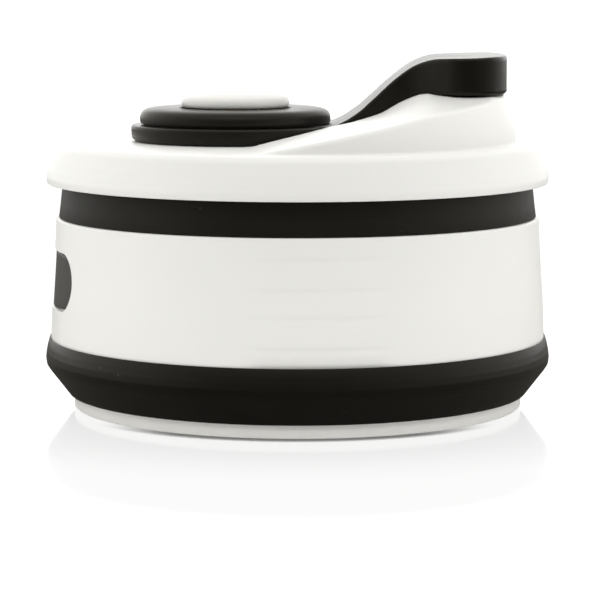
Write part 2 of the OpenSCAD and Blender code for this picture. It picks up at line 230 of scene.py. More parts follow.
def lathe(name, loop, material, segments=288, axis_x=0.0, angles=None, move=None, sharp=38):
    """Turns a closed (radius, z) loop about the vertical axis at (axis_x, 0).

    angles replaces the even segments; move(radius, angle, z) reshapes the result.
    """
    points = np.array(loop, float)
    rows = len(points)
    if angles is None:
        angles = np.linspace(0, 2 * math.pi, segments, endpoint=False)
    segments = len(angles)
    radius = np.repeat(points[:, 0][:, None], segments, 1)
    height = np.repeat(points[:, 1][:, None], segments, 1)
    angle = np.repeat(angles[None, :], rows, 0)
    if move is not None:
        radius, angle, height = move(radius, angle, height)
    verts = np.stack([axis_x + radius * np.cos(angle), radius * np.sin(angle), height], -1)
    faces = []
    for i in range(rows):
        k = (i + 1) % rows
        if points[i, 0] < 1e-6 and points[k, 0] < 1e-6:
            continue  # an edge on the axis sweeps no face
        for j in range(segments):
            m = (j + 1) % segments
            faces.append((i * segments + j, i * segments + m,
                          k * segments + m, k * segments + j))
    return mesh_object(name, verts.reshape(-1, 3), faces, material, sharp)


# ---------------------------------------------------------------- signed distances
class Outline:
    """Signed distance to a closed 2-D loop, sampled on a grid. Negative inside."""

    def __init__(self, loop, spacing=0.06, pad=4.0):
        points = np.array(loop, float)
        low, high = points.min(0) - pad, points.max(0) + pad
        nx, ny = [int(math.ceil(v / spacing)) + 1 for v in (high - low)]
        x, y = np.meshgrid(low[0] + spacing * np.arange(nx),
                           low[1] + spacing * np.arange(ny), indexing="ij")
        squared = np.full(x.shape, 1e9)
        inside = np.zeros(x.shape, bool)
        for i in range(len(points)):
            a, b = points[i], points[(i + 1) % len(points)]
            edge = b - a
            length2 = float(edge @ edge)
            if length2 < 1e-12:
                continue
            from_x, from_y = x - a[0], y - a[1]
            t = np.clip((from_x * edge[0] + from_y * edge[1]) / length2, 0, 1)
            squared = np.minimum(squared, (from_x - t * edge[0]) ** 2
                                 + (from_y - t * edge[1]) ** 2)
            spans = (a[1] > y) != (b[1] > y)
            if edge[1] != 0:
                inside ^= spans & (x < edge[0] * (y - a[1]) / edge[1] + a[0])
        self.grid = np.sqrt(squared) * np.where(inside, -1, 1)
        self.low, self.spacing, self.shape = low, spacing, (nx, ny)

    def __call__(self, x, y):
        u = (x - self.low[0]) / self.spacing
        v = (y - self.low[1]) / self.spacing
        in_u = np.clip(u, 0, self.shape[0] - 1.001)
        in_v = np.clip(v, 0, self.shape[1] - 1.001)
        i, j = in_u.astype(int), in_v.astype(int)
        a, b = in_u - i, in_v - j
        grid = self.grid
        value = (grid[i, j] * (1 - a) * (1 - b) + grid[i + 1, j] * a * (1 - b)
                 + grid[i, j + 1] * (1 - a) * b + grid[i + 1, j + 1] * a * b)
        return value + self.spacing * np.hypot(u - in_u, v - in_v)


def smin(a, b, blend):
    """Minimum with a rounded joint."""
    h = np.maximum(blend - np.abs(a - b), 0) / blend
    return np.minimum(a, b) - h * h * blend / 4


def smax(a, b, blend):
    return -smin(-a, -b, blend)


def ramp(t):
    """0 to 1 with soft ends."""
    t = np.clip(t, 0, 1)
    return t * t * (3 - 2 * t)


def surface_net(values):
    """Points (in cell units) and quads of the zero surface of a sampled grid."""
    inside = values < 0
    cells = np.array(values.shape) - 1
    total = np.zeros((*cells, 3))
    count = np.zeros(cells)
    crossings = []
    for axis in range(3):
        first, second = [slice(None)] * 3, [slice(None)] * 3
        first[axis], second[axis] = slice(0, -1), slice(1, None)
        first, second = tuple(first), tuple(second)
        index = np.argwhere(inside[first] != inside[second])
        at = tuple(index.T)
        a, b = values[first][at], values[second][at]
        point = index.astype(float)
        point[:, axis] += a / (a - b)
        across = [k for k in range(3) if k != axis]
        for offset in ((0, 0), (0, -1), (-1, 0), (-1, -1)):
            cell = index.copy()
            cell[:, across] += offset
            ok = np.all((cell >= 0) & (cell < cells), 1)
            np.add.at(total, tuple(cell[ok].T), point[ok])
            np.add.at(count, tuple(cell[ok].T), 1)
        crossings.append((axis, across, index, inside[first][at]))
    live = np.argwhere(count > 0)
    at = tuple(live.T)
    number = -np.ones(cells, int)
    number[at] = np.arange(len(live))
    faces = []
    for axis, across, index, first_in in crossings:
        ok = (np.all(index[:, across] >= 1, 1)
              & np.all(index[:, across] < cells[across], 1))
        index, first_in = index[ok], first_in[ok]
        corners = []
        for offset in ((0, 0), (-1, 0), (-1, -1), (0, -1)):
            cell = index.copy()
            cell[:, across] += offset
            corners.append(number[tuple(cell.T)])
        quads = np.stack(corners, 1)
        flip = first_in if axis != 1 else ~first_in
        quads[flip] = quads[flip][:, ::-1]
        faces.append(quads)
    return total[at] / count[at][:, None], np.concatenate(faces)


def solid_from(name, distance, low, high, cell, material, exact_normals):
    """The zero surface of distance(x, y, z) as a quad mesh, its points moved onto it."""
    low, high = np.array(low, float), np.array(high, float)
    shape = [int(math.ceil(v / cell)) + 1 for v in (high - low)]
    axes = [low[i] + cell * np.arange(shape[i]) for i in range(3)]
    values = np.empty(shape, np.float32)
    slab = 24  # layers sampled at a time, to limit memory
    for i in range(0, shape[0], slab):
        grid = np.meshgrid(axes[0][i:i + slab], axes[1], axes[2], indexing="ij")
        values[i:i + slab] = distance(*grid)
    points, faces = surface_net(values)
    points = low + points * cell

    def gradient(at, reach=0.01):
        slopes = np.empty_like(at)
        for k in range(3):
            step = np.zeros(3)
            step[k] = reach
            slopes[:, k] = (distance(*(at + step).T) - distance(*(at - step).T)) / (2 * reach)
        return slopes

    start = points.copy()
    farthest = 0.9 * cell
    for _ in range(4):
        slopes = gradient(points)
        squared = np.maximum((slopes * slopes).sum(1), 0.05)
        points = points - slopes * (distance(*points.T) / squared)[:, None]
        shift = points - start
        length = np.linalg.norm(shift, axis=1)
        far = length > farthest
        points[far] = start[far] + shift[far] * (farthest / length[far])[:, None]

    mesh = bpy.data.meshes.new(name)
    mesh.vertices.add(len(points))
    mesh.vertices.foreach_set("co", (points * MM).astype(np.float32).ravel())
    mesh.loops.add(len(faces) * 4)
    mesh.loops.foreach_set("vertex_index", faces.astype(np.int32).ravel())
    mesh.polygons.add(len(faces))
    mesh.polygons.foreach_set("loop_start", np.arange(0, len(faces) * 4, 4, dtype=np.int32))
    mesh.polygons.foreach_set("loop_total", np.full(len(faces), 4, np.int32))
    mesh.update(calc_edges=True)
    mesh.validate()
    bm = bmesh.new()
    bm.from_mesh(mesh)
    bmesh.ops.recalc_face_normals(bm, faces=bm.faces)
    bm.to_mesh(mesh)
    bm.free()
    shade_smooth(mesh)
    # the normals only fit if validation kept every vertex
    if exact_normals and len(mesh.vertices) == len(points):
        slopes = gradient(points, 0.03)
        slopes /= np.maximum(np.linalg.norm(slopes, axis=1), 1e-9)[:, None]
        mesh.normals_split_custom_set_from_vertices([tuple(v) for v in slopes])
    return add_object(name, mesh, material)


# ---------------------------------------------------------------- shader nodes
class Graph:
    """Adds nodes to one node tree. Every value may be a socket or a constant."""

    def __init__(self, tree):
        self.tree = tree

    def fill(self, target, values):
        """values: {input name or index: value}."""
        for key, value in values.items():
            if isinstance(value, bpy.types.NodeSocket):
                self.tree.links.new(value, target.inputs[key])
            else:
                target.inputs[key].default_value = value

    def add(self, kind, values=None, **settings):
        """Returns the outputs of a new node."""
        made = self.tree.nodes.new("ShaderNode" + kind)
        for key, value in settings.items():
            setattr(made, key, value)
        self.fill(made, values or {})
        return made.outputs

    def mix_color(self, fac, a, b):
        return self.add("Mix", {0: fac, 6: a, 7: b}, data_type="RGBA")[2]

    def mix_shader(self, fac, a, b):
        return self.add("MixShader", {0: fac, 1: a, 2: b})[0]

    def remap(self, value, span, to=(0.0, 1.0), smooth=False):
        """Maps the span of value to another, clamped."""
        return self.add("MapRange", {0: value, 1: span[0], 2: span[1], 3: to[0], 4: to[1]},
                        interpolation_type="SMOOTHSTEP" if smooth else "LINEAR")[0]

    def math(self, operation, a, b, clamp=False):
        return self.add("Math", {0: a, 1: b}, operation=operation, use_clamp=clamp)[0]

    def vector(self, operation, *values):
        outputs = self.add("VectorMath", dict(enumerate(values)), operation=operation)
        return outputs["Value" if operation in ("LENGTH", "DOT_PRODUCT") else "Vector"]

    def noise(self, scale, detail=3.0, roughness=0.55, stretch=None):
        coords = self.add("TexCoord")["Object"]
        if stretch:
            coords = self.add("Mapping", {"Scale": stretch, "Vector": coords})["Vector"]
        return self.add("TexNoise", {"Scale": scale, "Detail": detail,
                                     "Roughness": roughness, "Vector": coords})["Fac"]

    def bump(self, height, strength, distance):
        return self.add("Bump", {"Strength": strength, "Distance": distance,
                                 "Height": height})["Normal"]

    def edge_mask(self, radius):
        """1 on convex edges and in tight corners, 0 on open faces."""
        rounded = self.add("Bevel", {"Radius": radius}, samples=4)["Normal"]
        actual = self.add("NewGeometry")["Normal"]
        bent = self.math("SUBTRACT", 1.0, self.vector("DOT_PRODUCT", rounded, actual))
        return self.remap(bent, span=(0.02, 0.30), smooth=True)


def principled(name):
    material = bpy.data.materials.new(name)
    material.use_nodes = True
    tree = material.node_tree
    return material, Graph(tree), tree.nodes["Principled BSDF"]


# ---------------------------------------------------------------- materials
def plastic(name, color, roughness, tint=(0.80, 0.79, 0.75), subsurface=0.06,
            grain=0.000006, edge=0.35):
    """Moulded polypropylene: satin, slightly translucent, fine grain, faint smears.

    tint clouds the colour, grain is the bump height in m, edge the paleness of edges.
    """
    material, graph, shader = principled(name)
    big = graph.noise(scale=38.0)
    mid = graph.noise(scale=260.0, detail=4.0, roughness=0.6)
    fine = graph.noise(scale=5200.0, detail=2.0, roughness=0.5)
    smear = graph.noise(scale=90.0, detail=5.0, roughness=0.65, stretch=(1.0, 1.0, 0.22))
    specks = graph.noise(scale=2600.0, detail=1.0, roughness=0.4)
    wear = graph.edge_mask(radius=0.0005)

    clouds = graph.remap(big, span=(0.35, 0.7), to=(0.0, 0.10))
    surface = graph.mix_color(clouds, color + (1,), tint + (1,))
    pale = tuple(min(1.0, c * 1.04 + 0.01) for c in color)
    surface = graph.mix_color(graph.math("MULTIPLY", wear, edge), surface, pale + (1,))
    dots = graph.remap(specks, span=(0.77, 0.80), to=(0.0, 0.10))
    surface = graph.mix_color(dots, surface, (0.45, 0.43, 0.39, 1))

    # smears and worn edges are glossier
    rough = graph.math(
        "ADD", graph.remap(mid, span=(0.3, 0.7), to=(roughness - 0.035, roughness + 0.035)),
        graph.remap(smear, span=(0.45, 0.75), to=(0.0, -0.07), smooth=True))
    rough = graph.math("SUBTRACT", rough, graph.math("MULTIPLY", wear, 0.06))
    height = graph.math("ADD", fine, graph.math("MULTIPLY", mid, 1.2))
    graph.fill(shader, {
        "Base Color": surface,
        "Roughness": rough,
        "IOR": 1.49,
        "Subsurface Weight": subsurface,
        "Subsurface Radius": (0.0022, 0.0019, 0.0015),
        "Subsurface Scale": 1.0,
        "Normal": graph.bump(height, strength=0.55, distance=grain),
    })
    return material


def silicone(name, color, roughness, sheen, dust=1.0):
    """Matte silicone rubber: dark body, powdery sheen, lint specks, faint flow marks."""
    material, graph, shader = principled(name)
    big = graph.noise(scale=45.0, detail=4.0, roughness=0.6)
    flow = graph.noise(scale=160.0, detail=5.0, roughness=0.62, stretch=(0.35, 0.35, 1.6))
    fine = graph.noise(scale=4200.0, roughness=0.6)
    wear = graph.edge_mask(radius=0.0006)

    lighter = tuple(c * 1.5 + 0.0012 for c in color)
    clouds = graph.remap(big, span=(0.35, 0.72), to=(0.0, 0.7))
    surface = graph.mix_color(clouds, color + (1,), lighter + (1,))
    worn = tuple(c * 2.5 + 0.006 for c in color)
    surface = graph.mix_color(graph.math("MULTIPLY", wear, 0.45), surface, worn + (1,))

    # lint: sparse small specks, and a few pale smears
    spots = graph.add("TexVoronoi", {"Scale": 520.0, "Vector": graph.add("TexCoord")["Object"]})
    near = graph.remap(spots["Distance"], span=(0.05, 0.11), to=(1.0, 0.0))
    picked = graph.remap(spots["Color"], span=(0.80, 0.84))
    speck = graph.math("MULTIPLY", near, picked)
    smear = graph.remap(flow, span=(0.64, 0.80), to=(0.0, 0.22), smooth=True)
    lint = graph.math("MULTIPLY", graph.math("MAXIMUM", speck, smear), dust, clamp=True)
    surface = graph.mix_color(graph.math("MULTIPLY", lint, 0.22), surface,
                              (0.30, 0.29, 0.27, 1))

    rough = graph.remap(big, span=(0.3, 0.7), to=(roughness - 0.05, roughness + 0.06))
    height = graph.math("ADD", fine, graph.math("MULTIPLY", flow, 2.5))
    graph.fill(shader, {
        "Base Color": surface,
        "Roughness": graph.math("ADD", rough, graph.math("MULTIPLY", lint, 0.12)),
        "IOR": 1.27,
        "Specular Tint": (1.0, 0.95, 0.80, 1),
        "Sheen Weight": sheen,
        "Sheen Roughness": 0.55,
        "Sheen Tint": (0.84, 0.80, 0.72, 1),
        "Normal": graph.bump(height, strength=0.6, distance=0.000010),
    })
    return material


def painted_top_shade(material, top_shade_color):
    """Paints shade on upward faces: their colour goes darker than the side's, to tone down how
    brightly they are lit. The specular of the whole material is lowered as well.
    """
    graph = Graph(material.node_tree)
    shader = material.node_tree.nodes["Principled BSDF"]
    base = shader.inputs["Base Color"].links[0].from_socket
    normal = graph.add("NewGeometry")["Normal"]
    upward = graph.add("SeparateXYZ", {0: normal})["Z"]
    # painted shade: how far upward faces move towards the darker colour
    amount = graph.remap(upward, span=(0.72, 0.99), to=(0.0, 0.85), smooth=True)
    graph.fill(shader, {"Specular IOR Level": 0.22,
                        "Base Color": graph.mix_color(amount, base, top_shade_color)})


WHITE = plastic("white_pp", (0.865, 0.860, 0.828), roughness=0.40, tint=(0.83, 0.822, 0.79))
# white plastic of the base, made brighter than the sleeve's to offset the shade under the bumper:
# partly painted light
FOOT = plastic("foot_pp", (0.94, 0.93, 0.89), roughness=0.44, tint=(0.84, 0.83, 0.79),
               subsurface=0.10)
INNER = plastic("inner_pp", (0.78, 0.78, 0.76), roughness=0.36)
# warm off-white, made brighter than the other white plastic to offset the shade on its side:
# partly painted light
BUTTON = plastic("button_pp", (0.96, 0.945, 0.895), roughness=0.36, tint=(0.93, 0.915, 0.87),
                 subsurface=0.28)
# painted shade on the button's top, which is lit too brightly
painted_top_shade(BUTTON, top_shade_color=(0.80, 0.79, 0.76, 1))
STEM = plastic("stem_acetal", (0.62, 0.62, 0.60), roughness=0.24, subsurface=0.02)
BADGE = plastic("badge_inlay", (0.045, 0.042, 0.037), roughness=0.50,
                tint=(0.04, 0.037, 0.032), subsurface=0.0, grain=0.00001, edge=0.15)
BLACK = silicone("black_silicone", (0.0036, 0.0034, 0.0026), roughness=0.34, sheen=0.05)
WALL = silicone("wall_silicone", (0.0048, 0.0045, 0.0036), roughness=0.40, sheen=0.05,
                dust=1.4)
CAP = silicone("soft_touch_cap", (0.0036, 0.0034, 0.0026), roughness=0.38, sheen=0.09)
SEAL = silicone("seal_silicone", (0.10, 0.10, 0.095), roughness=0.42, sheen=0.15, dust=0.4)


def fit(piece, body, node):
    """The piece moves with a body and stands in for a CAD node."""
    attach(piece, body)
    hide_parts(node)


# ---------------------------------------------------------------- base
# Profiles are (radius, z, corner radius) in mm; a point without the third is sharp.
def base_plate():
    foot_r, _, _ = extent("base_plate")
    profile = fillet([
        (0, 0.45), (2.2, 0.45, 0.2), (2.9, 0.7, 0.2), (19.2, 0.7, 0.15), (19.6, 0.4, 0.15),
        (20.4, 0.4, 0.15), (20.8, 0.7, 0.15), (35.9, 0.7, 0.3), (36.7, 0, 0.3),
        (foot_r - 0.18, 0, 0.12), (foot_r, 0.22, 0.12), (foot_r, FOOT_TOP - 0.05, 0.2),
        # a ridge that enters the bumper, then the flat top
        (40, FOOT_TOP - 0.02), (39.8, 3.4, 0.1), (38.2, 3.4, 0.1), (38, FOOT_TOP - 0.02),
        (0, FOOT_TOP - 0.02)], 4)
    fit(lathe("base_plate_moulded", profile, FOOT), "base", "base_plate")


def base_bumper():
    rim_r, _, top = extent("base_bumper")
    groove = [(0, FOOT_TOP), (37.98, FOOT_TOP), (38.18, 3.42), (39.82, 3.42),
              (40.02, FOOT_TOP)]
    outside = bend([
        (44.3, FOOT_TOP), (44.9, FOOT_TOP, 0.25), (48.75, 7.62, 0.5),
        (rim_r - 0.12, 8.45, 0.9), (rim_r + 0.02, 9.6, 1.2), (rim_r - 0.1, 10.8, 1.0),
        (rim_r - 0.34, 12.0, 1.0), (rim_r - 0.72, top - 0.2)], 6)
    inside = bend([
        (48.60, top - 0.03), (48.50, top - 0.05, 0.05), (48.47, 12.2, 0.12), (47.32, 12.2),
        (47.32, 7.38), (46.28, 7.38), (46.28, 12.55, 0.2), (45.75, 12.9, 0.25),
        (44.98, 12.9, 0.3), (44.98, 8.2, 0.8), (44.25, 4.7, 0.9), (43.1, 4.0, 1.0),
        (30.5, 4.0, 0.3), (30.1, 4.25, 0.3), (29.3, 4.25, 0.3), (28.9, 4.0, 0.3), (0, 4.0)], 5)
    bumper = lathe("base_bumper_silicone", groove + outside + inside, BLACK, segments=320)
    fit(bumper, "base", "base_bumper")


# ---------------------------------------------------------------- folding wall
def wall_ring(body):
    """A thick ring between two folds, its outer face slightly hollow at mid height."""
    node = "wall_" + body
    outer, bottom, top = extent(node)
    inner = outer - 2.0
    middle = (bottom + top) / 2
    profile = fillet([
        (inner, bottom, 0.75), (outer, bottom, 0.75), (outer, middle - 2.4),
        (outer - 0.12, middle), (outer, middle + 2.4), (outer, top, 0.75),
        (inner, top, 0.75)], 6)
    fit(lathe(node + "_silicone", profile, WALL, segments=256), body, node)


def wall_fold(number, outer_on_top):
    """A thin bell between an outer and an inner root."""
    node = f"wall_fold_{number}"
    outer, low, high = extent(node)
    bottom, top = low + 0.7, high - 0.7
    span = 2.5
    inner = outer - span
    outer_z, inner_z = (top, bottom) if outer_on_top else (bottom, top)
    drop = outer_z - inner_z
    middle = np.array(spline([
        (outer + 0.35, outer_z),
        (outer - 0.28 * span, outer_z - 0.02 * drop),
        (outer - 0.47 * span, outer_z - 0.16 * drop),
        (outer - 0.50 * span, outer_z - 0.50 * drop),
        (inner + 0.47 * span, inner_z + 0.16 * drop),
        (inner + 0.28 * span, inner_z + 0.02 * drop),
        (inner - 0.35, inner_z)], 7))
    along = np.gradient(middle, axis=0)
    along /= np.linalg.norm(along, axis=1)[:, None]
    normal = np.stack([along[:, 1], -along[:, 0]], 1)
    place = np.linspace(0, 1, len(middle))
    half_thick = (0.52 + 0.14 * np.cos(2 * math.pi * place) ** 2)[:, None]
    loop = np.concatenate([middle + normal * half_thick,
                           (middle - normal * half_thick)[::-1]])
    fold = lathe(node + "_silicone", loop, WALL, segments=256, sharp=60)
    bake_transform(fold)
    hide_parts(node)


def folding_wall():
    for body in ("ring_lower", "ring_middle", "ring_upper"):
        wall_ring(body)
    wall_fold(1, outer_on_top=True)
    wall_fold(2, outer_on_top=True)
    wall_fold(3, outer_on_top=False)
    wall_fold(4, outer_on_top=False)


# ---------------------------------------------------------------- upper body
def upper_wall():
    _, bottom, top = extent("upper_wall")
    profile = fillet([
        (45.0, bottom, 0.3), (46.5, bottom, 0.3), (45.1, 37.0), (45.1, 40.65), (45.75, 40.65),
        (45.75, 37.03), (46.62, 37.03, 0.12), (46.28, 39.7), (45.84, 43.8, 1.0),
        (45.7, 46.5, 0.5), (45.5, top - 0.7, 0.5), (44.9, top, 0.4), (44.0, top, 0.4),
        (43.5, top - 0.5, 0.3), (43.4, top - 1.5, 0.3), (43.4, 37.0, 2.0),
        (45.0, bottom + 1.4, 1.0)], 5)
    wall = lathe("upper_wall_silicone", profile, WALL, segments=320)
    fit(wall, "upper_body", "upper_wall")


def sleeve_r(z):
    return np.interp(z, SLEEVE_Z, SLEEVE_R)


def wrap(angle):
    return (angle + math.pi) % (2 * math.pi) - math.pi


def groove_depth(angle, z):
    """Four finger grooves at the front and back: steep upper flank, long soft lower one.

    The wall falls away below the lowest groove.
    """
    depth = np.zeros_like(z)
    for side in (-math.pi / 2, math.pi / 2):
        off = np.abs(wrap(angle - side - TURN))
        fade = ramp((GROOVE_HALF - off) / (GROOVE_HALF * 0.42))
        for groove_z in GROOVE_Z:
            above = z - groove_z
            upper = ramp(1 - np.clip(above, 0, None) / 0.95)
            lower = np.clip(1 - np.clip(-above - 0.15, 0, None) / 3.4, 0, 1) ** 1.3
            depth = np.maximum(depth, GROOVE_DEPTH * fade * np.where(above > 0, upper, lower))
        below = np.clip((GROOVE_Z[0] + 0.3 - z) / 3.6, 0, 1)
        depth = np.maximum(depth, 0.50 * fade * below ** 1.2)
    return depth


def badge_distance(angle, z):
    """Signed distance to the badge outline on the sleeve, negative inside."""
    off = wrap(angle - math.pi - TURN)
    x = BADGE_ARC_R * np.sin(np.clip(off, -1.2, 1.2))
    x = np.where(np.abs(off) > 1.2, 60.0, x)
    beyond = np.maximum(np.abs(x) - (BADGE_HALF_W - BADGE_HALF_H), 0)
    return np.hypot(beyond, z - BADGE_Z) - BADGE_HALF_H


def shape_sleeve(radius, angle, z):
    """Grooves and the badge pocket, on the outer face only."""
    face = (radius > sleeve_r(z) - 0.25) & (z > 12.6) & (z < 36.6)
    step = 0.02
    # pull points near the pocket's edge onto it, so that the edge is clean
    for _ in range(2):
        off = badge_distance(angle, z)
        slope_z = (badge_distance(angle, z + step) - badge_distance(angle, z - step)) / (2 * step)
        turn = step / BADGE_ARC_R
        slope_a = (badge_distance(angle + turn, z) - badge_distance(angle - turn, z)) / (2 * step)
        want = np.where(off < 0, -0.02, 0.09)
        near = face & (np.abs(off - want) < 0.16)
        shift = np.where(near, want - off, 0)
        z = z + shift * slope_z
        angle = angle + shift * slope_a / BADGE_ARC_R
    pocket = 0.82 * ramp((0.09 - badge_distance(angle, z)) / 0.11)
    radius = np.where(face, sleeve_r(z) - groove_depth(angle, z) - pocket, radius)
    return radius, angle, z


def grip_sleeve():
    _, bottom, top = extent("grip_sleeve")
    foot = [(47.1, bottom), (47.6, bottom), (48.2, bottom), (48.36, bottom + 0.12)]
    face = [(float(sleeve_r(z)), float(z)) for z in np.linspace(bottom + 0.5, 36.7, 118)]
    collar = [(47.04, 36.92), (46.9, SHOULDER), (45.7, SHOULDER), (45.7, top - 0.2),
              (45.55, top), (45.35, top), (45.15, top - 0.3), (45.15, SHOULDER)]
    bore = list(zip(np.linspace(45.15, 46.9, 7), np.linspace(36.9, 12.6, 7)))
    # degrees: closely spaced across the badge, wider around the rest
    fine = math.degrees(math.pi + TURN) + np.arange(-23.5, 23.5, 0.28)
    coarse = np.arange(fine[-1] + 0.8, fine[0] + 360 - 0.1, 0.8)
    sleeve = lathe("grip_sleeve_moulded", foot + face + collar + bore, WHITE,
                   angles=np.radians(np.concatenate([fine, coarse])), move=shape_sleeve,
                   sharp=32)
    fit(sleeve, "upper_body", "grip_sleeve")


# (inset from the outline, depth below the sleeve's face), from the back to the middle
BADGE_ROWS = [(0.0, 0.80), (0.0, 0.46), (0.07, 0.36), (0.20, 0.31), (0.5, 0.30),
              (1.2, 0.30), (2.0, 0.30), (3.0, 0.30), (4.1, 0.30), (4.8, 0.30)]


def grip_badge():
    """Curved oval inlay: rings inside the outline, a small rounded rim, a closed back."""
    count = 120
    verts, faces = [], []
    for inset, depth in BADGE_ROWS:
        end_r = BADGE_HALF_H - 0.03 - inset
        for i in range(count):
            turn = 2 * math.pi * i / count
            # the second term spreads points along the straight flanks
            x = (end_r * math.cos(turn)
                 + (BADGE_HALF_W - BADGE_HALF_H) * max(-1, min(1, math.cos(turn) * 2.2)))
            z = BADGE_Z + end_r * math.sin(turn)
            angle = math.asin(x / BADGE_ARC_R) + math.pi + TURN
            radius = float(sleeve_r(z)) - depth
            verts.append((radius * math.cos(angle), radius * math.sin(angle), z))
    for j in range(len(BADGE_ROWS) - 1):
        for i in range(count):
            k = (i + 1) % count
            faces.append((j * count + i, j * count + k,
                          (j + 1) * count + k, (j + 1) * count + i))
    # strips that close the innermost ring, then the back; the end ones are triangles
    for base in ((len(BADGE_ROWS) - 1) * count, 0):
        for i in range(count // 2):
            corners = dict.fromkeys((i, i + 1, (count - i - 1) % count, (count - i) % count))
            faces.append(tuple(base + corner for corner in corners))
    badge = mesh_object("grip_badge_inlay", verts, faces, BADGE, sharp=40)
    fit(badge, "upper_body", "grip_badge")


# ---------------------------------------------------------------- lid shell
# (x, height of the hump's outer edge)
crease = hermite([
    (-20, 49.0), (-14, 50.3), (-10, 51.15), (-6.4, 51.95), (0.4, 53.35), (7.7, 54.75),
    (15, 56.2), (22.4, 57.6), (30.1, 58.8), (36.3, 59.55), (39.5, 59.8), (44, 59.9)])
# (x, rise of the hump's middle above that edge)
rise = hermite([
    (-20, 0.20), (-9, 0.42), (-5.2, 0.56), (-1.0, 0.59), (3.0, 0.56), (6.5, 0.54),
    (10, 0.60), (12, 0.75), (13.9, 0.92), (15.8, 1.15), (16.75, 1.42), (17.7, 1.80),
    (18.7, 2.18), (19.6, 2.50), (21.5, 2.99), (22.5, 3.22), (23.5, 3.35), (24.7, 3.30),
    (27, 2.62), (30.1, 2.0), (33, 1.6), (36.3, 1.25), (39.5, 1.0), (44, 0.92)])
# (x, height of the channel floor under the strap)
channel_floor = hermite([
    (5, 51.4), (8.2, 51.6), (10, 52.2), (12, 53.5), (14.2, 55.4), (16.5, 57.35),
    (17.9, 58.3), (19.2, 59.1), (20.8, 60.0), (22.4, 60.6), (24.2, 60.8), (45, 60.8)])


def hump_top(x, y):
    edge_y = np.sqrt(np.maximum(42.0 ** 2 - x * x, 36.0))
    crest_y = 11.0 + 4.0 * ramp((x - 18) / 8)
    inward = np.clip((edge_y - np.abs(y)) / np.maximum(edge_y - crest_y, 2.0), 0, 1)
    return crease(x) + rise(x) * inward


def lid_shell():
    rim_r, bottom, _ = extent("lid_shell")
    skirt = Outline(fillet([
        (0, LID_TOP), (46.35, LID_TOP, 1.3), (47.5, 50.75, 1.2), (48.2, 48.4), (48.68, 46.5),
        (rim_r, 44.9, 0.9), (rim_r - 0.14, bottom, 0.3), (47.1, bottom, 0.3),
        (46.95, 48.4, 0.8), (46.5, 49.75, 0.6), (45.6, 49.8), (0, 49.8)][::-1], 6))

    def distance(x, y, z):
        radius = np.hypot(x, y)
        knob_radius = np.hypot(x - KNOB_X, y)
        above = np.maximum(z - LID_TOP, -2)
        side = (radius - (42.65 - 0.0893 * above - 0.0156 * above * np.abs(above))) * 0.965
        top = (z - hump_top(x, y)) * 0.955
        hump = np.maximum(smax(side, top, 0.9), 49.9 - z)
        hollow = np.maximum(smax(side + LID_WALL, top + LID_WALL, 1.0), 49.0 - z)
        # round recess for the knob, joined by the channel for the strap
        recess = knob_radius - 21.25
        channel = np.maximum(np.abs(y) - (10.75 + 0.9 * ramp((17 - x) / 5)),
                             np.maximum(-x, 0))
        channel = np.maximum(channel, x - 24.0)
        outline = smin(recess, np.where(x > -2, channel, 50.0), 1.0)
        floor_z = np.where(x < 8.2, LID_TOP, channel_floor(x))
        void = np.where(x > 4, smax(outline, (floor_z - z) * 0.80, 0.35),
                        smax(outline, LID_TOP - z, 0.35))
        # the hollow keeps clear of the recess and channel, and of the skirt
        hollow = np.maximum(hollow, LID_WALL - outline)
        hollow = np.maximum(hollow, np.where(radius < 41.5, -5.0, 5.0))
        solid = smin(skirt(radius, z), smax(hump, -void, 0.3), 0.35)
        solid = np.maximum(solid, -hollow)
        # drinking hole, then the bore on the knob's axis
        solid = smax(solid, 4.5 - np.hypot(x - HOLE_X, y), 0.6)
        return np.maximum(solid, 7.05 - knob_radius)

    lid = solid_from("lid_shell_moulded", distance, (-50.2, -50.2, bottom - 0.7),
                     (50.2, 50.2, 62.2), 0.44, WHITE, exact_normals=True)
    fit(lid, "lid", "lid_shell")


# ---------------------------------------------------------------- knob
def knob_cap():
    reach, bottom, top = extent("knob_cap")
    rim = reach - KNOB_X
    lower = bend([(7.02, bottom), (rim - 0.62, bottom, 0.15),
                  (rim - 0.16, bottom + 0.22, 0.25), (rim, bottom + 0.75, 0.3)], 4)
    shoulder = spline([
        (rim, bottom + 1.1), (rim - 0.06, bottom + 1.65), (rim - 0.28, bottom + 2.18),
        (rim - 0.70, bottom + 2.62), (rim - 1.35, bottom + 2.94), (rim - 2.3, bottom + 3.13),
        (rim - 3.5, top)], 6)
    well = bend([(rim - 3.6, top), (10.95, top, 0.25), (10.85, 56.9, 0.2), (4.88, 56.9),
                 (4.88, 55.86), (7.02, 55.86)], 4)
    cap = lathe("knob_cap_moulded", refine(lower + shoulder + well, 2.5), CAP,
                segments=256, axis_x=KNOB_X)
    fit(cap, "lid", "knob_cap")


def vent_button():
    reach, bottom, top = extent("vent_button")
    rim = reach - KNOB_X
    neck = [(1.41, bottom), (4.5, bottom), (4.8, bottom + 0.3), (4.8, 58.15)]
    side = spline([
        (9.6, 58.15), (9.95, 58.18), (rim - 0.24, 58.34), (rim - 0.06, 58.62), (rim, 59.0),
        (rim - 0.04, 59.45), (rim - 0.22, 59.98), (rim - 0.58, 60.45), (rim - 1.15, 60.82),
        (rim - 2.0, top - 0.07), (rim - 3.2, top)], 5)
    dish = spline([(6.2, top - 0.02), (5.3, top - 0.10), (4.85, top - 0.27),
                   (4.2, top - 0.33), (2.4, top - 0.35), (0, top - 0.35)], 5)
    bore = [(0, 57), (1.41, 57)]
    button = lathe("vent_button_moulded", neck + side + dish + bore, BUTTON,
                   segments=224, axis_x=KNOB_X)
    fit(button, "button", "vent_button")


